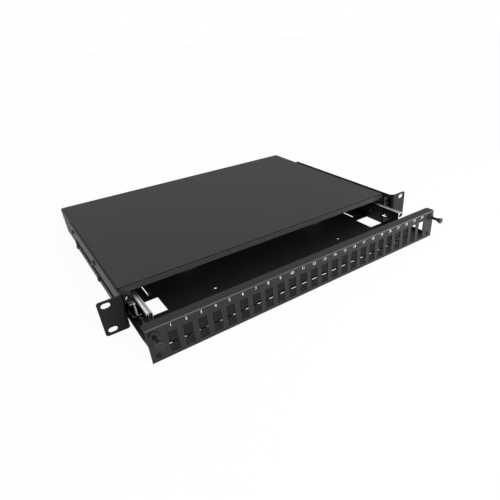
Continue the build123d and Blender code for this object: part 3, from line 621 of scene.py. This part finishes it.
def cross_outline(shape, arm, half_width, height):
    """Add a flat cross at a height, and give its faces and its outer edges."""
    grid = bmesh.ops.create_grid(shape, x_segments=3, y_segments=3, size=arm,
                                 matrix=Matrix.Translation((0, 0, height)))
    for vertex in grid["verts"]:
        for axis in (0, 1):
            if abs(vertex.co[axis]) < arm / 2:  # a line of the grid's middle row or column
                vertex.co[axis] = half_width if vertex.co[axis] > 0 else -half_width
    squares = faces_at(grid["verts"])
    corners = [face for face in squares
               if min(abs(value) for value in face.calc_center_median().xy) > half_width]
    bmesh.ops.delete(shape, geom=corners, context="FACES")
    cross = [face for face in squares if face.is_valid]
    return cross, [edge for face in cross for edge in face.edges if edge.is_boundary]


def screw_shape(radius, height, shank, length):
    """A pan-head screw standing on Z = 0, with a cross recess."""
    shape = bmesh.new()
    flat = FLAT_TOP * radius
    spun(shape, [(shank * TIP_RADIUS, -length), (shank, -length + shank * TIP_LENGTH),
                 (shank, 0)] + dome(radius, height, flat))
    bmesh.ops.holes_fill(shape, edges=[edge for edge in shape.edges if edge.is_boundary
                                       and edge.verts[0].co.z < -length / 2])
    rim = [edge for edge in shape.edges if edge.is_boundary]
    cross, outline = cross_outline(shape, CROSS_REACH * flat, CROSS_HALF_WIDTH * flat, height)
    bmesh.ops.triangle_fill(shape, use_beauty=True, edges=rim + outline, normal=(0, 0, 1))
    sunk = bmesh.ops.extrude_face_region(shape, geom=cross)["geom"]
    bmesh.ops.delete(shape, geom=[face for face in cross if face.is_valid],
                     context="FACES_ONLY")
    for point in sunk:
        if isinstance(point, bmesh.types.BMVert):
            point.co = Vector((point.co.x * CROSS_TAPER, point.co.y * CROSS_TAPER,
                               height * CROSS_FLOOR))
    return shape


# %% Rivet
PIT_RADIUS = 0.28  # share of the head's radius
PIT_TAPER, PIT_FLOOR = 0.9, 0.6  # how narrow its floor is, and how high in the head
TAIL_RADIUS, TAIL_LENGTH = 0.8, 0.3  # shares of the shank's radius


def rivet_shape(radius, height, shank, length):
    """A domed blind rivet standing on Z = 0, with the pit of its mandrel."""
    shape = bmesh.new()
    pit = PIT_RADIUS * radius
    spun(shape, [(0, -length), (shank * TAIL_RADIUS, -length),
                 (shank, -length + TAIL_LENGTH * shank), (shank, 0)] + dome(radius, height, pit)
         + [(pit * PIT_TAPER, height * PIT_FLOOR), (0, height * PIT_FLOOR)])
    return shape


# %% Which fastener goes where
OUTWARD, INWARD = 1, -1
FORWARD, UPWARD = Vector((0, -1, 0)), Vector((0, 0, 1))
M4_SCREW = (screw_shape, 3.5, 2.2, 1.95)  # shape maker, head radius, height and shank in mm
M3_SCREW = (screw_shape, 2.8, 1.5, 1.55)
RIVET = (rivet_shape, 3.2, 1.2, 1.95)
FIRST_TURN, NEXT_TURN = 0.4, 1.9  # radians, so that no two recesses stand alike
FASTENERS = {
    "case_rear_rivets": (RIVET, OUTWARD, "rivet_steel"),
    "slide_outer_rivets": (RIVET, OUTWARD, "rivet_steel"),
    "rack_ear_screws": (M4_SCREW, OUTWARD, "screw_black"),
    "slide_inner_screws": (M3_SCREW, INWARD, "screw_black"),
    "front_panel_screws": (M3_SCREW, FORWARD, "ear_paint"),
    "cable_entry_screws": (M3_SCREW, FORWARD, "rivet_steel"),
    "fibre_reel_screws": (M3_SCREW, UPWARD, "rivet_steel"),
}
print("Groups of fasteners:", len(FASTENERS))


# %% Place the fasteners
def head_direction(looks, centre):
    """A fixed direction, or the one away from the middle or towards it."""
    if isinstance(looks, Vector):
        return looks
    return Vector((looks if centre.x > 0 else -looks, 0, 0))


def placed_fastener(kind, looks, low, high, count):
    """One fastener in the box of its CAD solid, as a mesh."""
    maker, radius, height, shank = kind
    seat = (low + high) / 2
    facing = head_direction(looks, seat)
    axis = max(range(3), key=lambda index: abs(facing[index]))
    seat[axis] = (high[axis] if facing[axis] > 0 else low[axis]) - facing[axis] * height * MM
    one = maker(radius * MM, height * MM, shank * MM, (high - low)[axis] - height * MM)
    turn = Matrix.Rotation(FIRST_TURN + NEXT_TURN * count, 4, "Z")
    stand = facing.to_track_quat("Z", "Y").to_matrix().to_4x4()
    bmesh.ops.transform(one, matrix=Matrix.Translation(seat) @ stand @ turn, verts=one.verts)
    mesh = bpy.data.meshes.new("one")
    one.to_mesh(mesh)
    one.free()
    return mesh


for node, (kind, looks, slot) in FASTENERS.items():
    group = bmesh.new()
    for count, (low, high) in enumerate(islands(node)):
        mesh = placed_fastener(kind, looks, low, high, count)
        group.from_mesh(mesh)
        bpy.data.meshes.remove(mesh)
    finished_piece(node + "_round", group, FINISHES[slot][0], node)

# %% [markdown]
# ## Push latches
#
# Each latch is a nylon grommet with a plunger through it. Both are turned shapes, so a profile
# is spun about the latch's axis. The knob flares towards the finger, its face is slightly
# dished, and fine rings round it give grip. A profile point says its radius, the level that it
# is measured from and how far it lies in front of that level, all in millimetres.

# %% Latch profiles
COLLAR = 3.0  # the grommet's reach in front of the panel's face
SHEET = 1.2
BORE = 2.075
GROMMET = (
    (BORE, "rear", 0), (3.0, "rear", 0), (4.05, "sheet_back", -0.8), (3.45, "sheet_back", 0),
    (3.45, "face", 0), (5.0, "face", 0), (5.15, "face", 0.4), (4.95, "face", 1.3),
    (4.4, "front", -0.5), (3.9, "front", 0), (2.6, "front", 0), (BORE, "front", -0.5),
    (BORE, "rear", 0),
)
RINGS = 4
RING_RADIUS, RING_FLARE = 2.75, 0.38
RING_START, RING_PITCH = -5.2, 1.1
RING_DEPTH, RING_RISE, RING_WIDTH = 0.14, 0.25, 0.6
STEM = ((0, "rear", 0), (0.9, "rear", 0), (2.0, "rear", 4.0), (2.0, "front", -6.6),
        (2.3, "front", -5.8))
KNOB_FACE = ((4.15, "front", -0.8), (4.05, "front", -0.25), (3.6, "front", 0),
             (3.0, "front", -0.05), (0, "front", -0.5))


def grip_ring(ring):
    """The three profile points of one grip ring."""
    radius = RING_RADIUS + RING_FLARE * ring
    start = RING_START + RING_PITCH * ring
    return ((radius, "front", start), (radius + RING_DEPTH, "front", start + RING_RISE),
            (radius + RING_DEPTH, "front", start + RING_WIDTH))


PLUNGER = STEM + sum((grip_ring(ring) for ring in range(RINGS)), ()) + KNOB_FACE
print("Profile points:", len(GROMMET), "and", len(PLUNGER))

# %% Latches
SEAM = 0.000001  # points of a closed profile that are closer than this are one


def turned_latch_piece(node, profile):
    """Spin a profile about the latch's axis, in the place of a CAD node."""
    low, high = islands(node)[0]
    centre = (low + high) / 2
    face = -low.y - COLLAR * MM
    levels = {"rear": -high.y, "sheet_back": face - SHEET * MM, "face": face, "front": -low.y}
    shape = bmesh.new()
    spun(shape, [(radius * MM, levels[start] + past * MM) for radius, start, past in profile])
    bmesh.ops.remove_doubles(shape, verts=shape.verts, dist=SEAM)
    axis = Matrix.Translation((centre.x, 0, centre.z)) @ Matrix.Rotation(pi / 2, 4, "X")
    bmesh.ops.transform(shape, matrix=axis, verts=shape.verts)
    finished_piece(node + "_round", shape, latch_plastic, node)


for node in ("latch_grommet_left", "latch_grommet_right"):
    turned_latch_piece(node, GROMMET)
for node in ("latch_plunger_left", "latch_plunger_right"):
    turned_latch_piece(node, PLUNGER)

# %% [markdown]
# ## Tie bridges behind the cut-outs
#
# Each cut-out has a tie slot behind it in the drawer's floor, where an adapter's fibres are
# strapped down. A narrow strip of the floor stays over the slot, raised so that a tie can pass
# under it. Its right foot is wide and closes the slot's end. A strip starts as a grid of quads
# whose columns are moved to the strip's stations, and is then given its thickness and rounded
# edges. The strips are much darker and duller than the floor, as painted shade for the narrow
# place under and round them.

# %% Sizes of a tie bridge
PORTS = 24
PORT_PITCH = 16.56 * MM
FLOOR_TOP = 2.8 * MM
TIE_RISE, TIE_SHEET = 1.9 * MM, 0.9 * MM
TIE_PROUD = 0.05 * MM  # how far the feet stand above the floor
TIE_BACK = -55.25 * MM
TIE_EDGE = 0.15 * MM
CUT_EDGE = 60  # degrees: a sharper edge of a strip is rounded
STRIP_WIDTH, FOOT_WIDTH = 1.5, 2.7
STATIONS = (  # place along the slot in mm from its middle, share of the rise, width in mm
    (-6.2, 0, STRIP_WIDTH), (-4.2, 1, STRIP_WIDTH), (-1.8, 1, STRIP_WIDTH), (0.6, 1, STRIP_WIDTH),
    (2.4, 0, STRIP_WIDTH), (2.8, 0, FOOT_WIDTH), (5.6, 0, FOOT_WIDTH), (8.4, 0, FOOT_WIDTH),
)
SPANS = len(STATIONS) - 1
# The strips' coat is painted shade: far darker and duller than the tray's.
bridge_shade_paint = powder_coat("bridge_shade_coat", tone=0.002, roughness=0.60, gloss=0.06)
print("A strip covers", STATIONS[-1][0] - STATIONS[0][0], "mm of its slot")


# %% Tie bridges
def port_place(count):
    """The X of a cut-out's middle, counted from 0 at the left."""
    return (count - (PORTS - 1) / 2) * PORT_PITCH


bridges = bmesh.new()
for count in range(PORTS):
    strip = bmesh.ops.create_grid(bridges, x_segments=SPANS, y_segments=1, size=0.5)["verts"]
    for vertex in strip:  # the grid's columns run from -0.5 to 0.5
        along, rise, width = STATIONS[round((vertex.co.x + 0.5) * SPANS)]
        forward = width * MM if vertex.co.y < 0 else 0
        vertex.co = Vector((port_place(count) + along * MM, TIE_BACK - forward,
                            FLOOR_TOP - TIE_SHEET + TIE_PROUD + TIE_RISE * rise))
    raised = bmesh.ops.extrude_face_region(bridges, geom=faces_at(strip))["geom"]
    points = [item for item in raised if isinstance(item, bmesh.types.BMVert)]
    bmesh.ops.translate(bridges, verts=points, vec=(0, 0, TIE_SHEET))
bmesh.ops.recalc_face_normals(bridges, faces=bridges.faces)
sharp = [edge for edge in bridges.edges
         if len(edge.link_faces) == 2 and edge.calc_face_angle(0) > radians(CUT_EDGE)]
bmesh.ops.bevel(bridges, geom=sharp, offset=TIE_EDGE, segments=2, profile=0.5, material=-1,
                affect="EDGES")
tie_bridges = shown("tie_bridges", as_mesh("tie_bridges", bridges, bridge_shade_paint))
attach(tie_bridges, "drawer")
print("Tie bridges have", len(tie_bridges.data.polygons), "faces")

# %% [markdown]
# ## The printed numbers
#
# The cut-outs are numbered in white screen-printed ink above each one. A text object gives the
# outline of each numeral, and it is made a mesh before it is turned upright and moved to the
# panel, so that the finished piece needs no place of its own. The ink is 0.03 mm thick.

# %% White ink
INK_ROUGHNESS = 0.55
INK_THIN, INK_FULL = 0.50, 0.68  # tones where the ink is thin and where it covers
INK_GRAIN = (2200.0, 2.0)  # scale and detail of its grain
ink, tree = new_material("white_ink")
cover = noise(tree, add(tree, "ShaderNodeTexCoord").outputs["Object"], *INK_GRAIN)
surface(tree, {"Base Color": mixed(tree, cover, grey(INK_THIN), grey(INK_FULL)),
               "Roughness": INK_ROUGHNESS})
print("Ink:", ink.name)

# %% Numbers 1 to 24
NUMBER_HEIGHT = 3.6 * MM
CAPITAL = 0.72  # share of the font's size that a numeral is high
NUMBER_CENTRE = 38.5 * MM
INK_DEPTH = 0.03 * MM
INK_SPREAD = 0.00002  # how far the ink runs past the outline
panel_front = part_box("front_panel")[0][1]

numbers = bmesh.new()
for count in range(PORTS):
    curve = bpy.data.curves.new("numeral", "FONT")
    curve.body = str(count + 1)
    curve.align_x = "CENTER"
    curve.align_y = "CENTER"
    curve.size = NUMBER_HEIGHT / CAPITAL
    curve.offset = INK_SPREAD
    curve.extrude = INK_DEPTH / 2
    writer = shown("numeral", curve)
    bpy.context.view_layer.update()
    glyphs = bpy.data.meshes.new_from_object(writer.evaluated_get(
        bpy.context.evaluated_depsgraph_get()))
    place = Matrix.Translation((port_place(count), panel_front - INK_DEPTH / 2, NUMBER_CENTRE))
    glyphs.transform(place @ Matrix.Rotation(pi / 2, 4, "X"))
    numbers.from_mesh(glyphs)
    bpy.data.meshes.remove(glyphs)
    bpy.data.objects.remove(writer)
    bpy.data.curves.remove(curve)
port_numbers = shown("port_numbers", as_mesh("port_numbers", numbers, ink))
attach(port_numbers, "drawer")
print("Number mesh has", len(port_numbers.data.polygons), "faces")
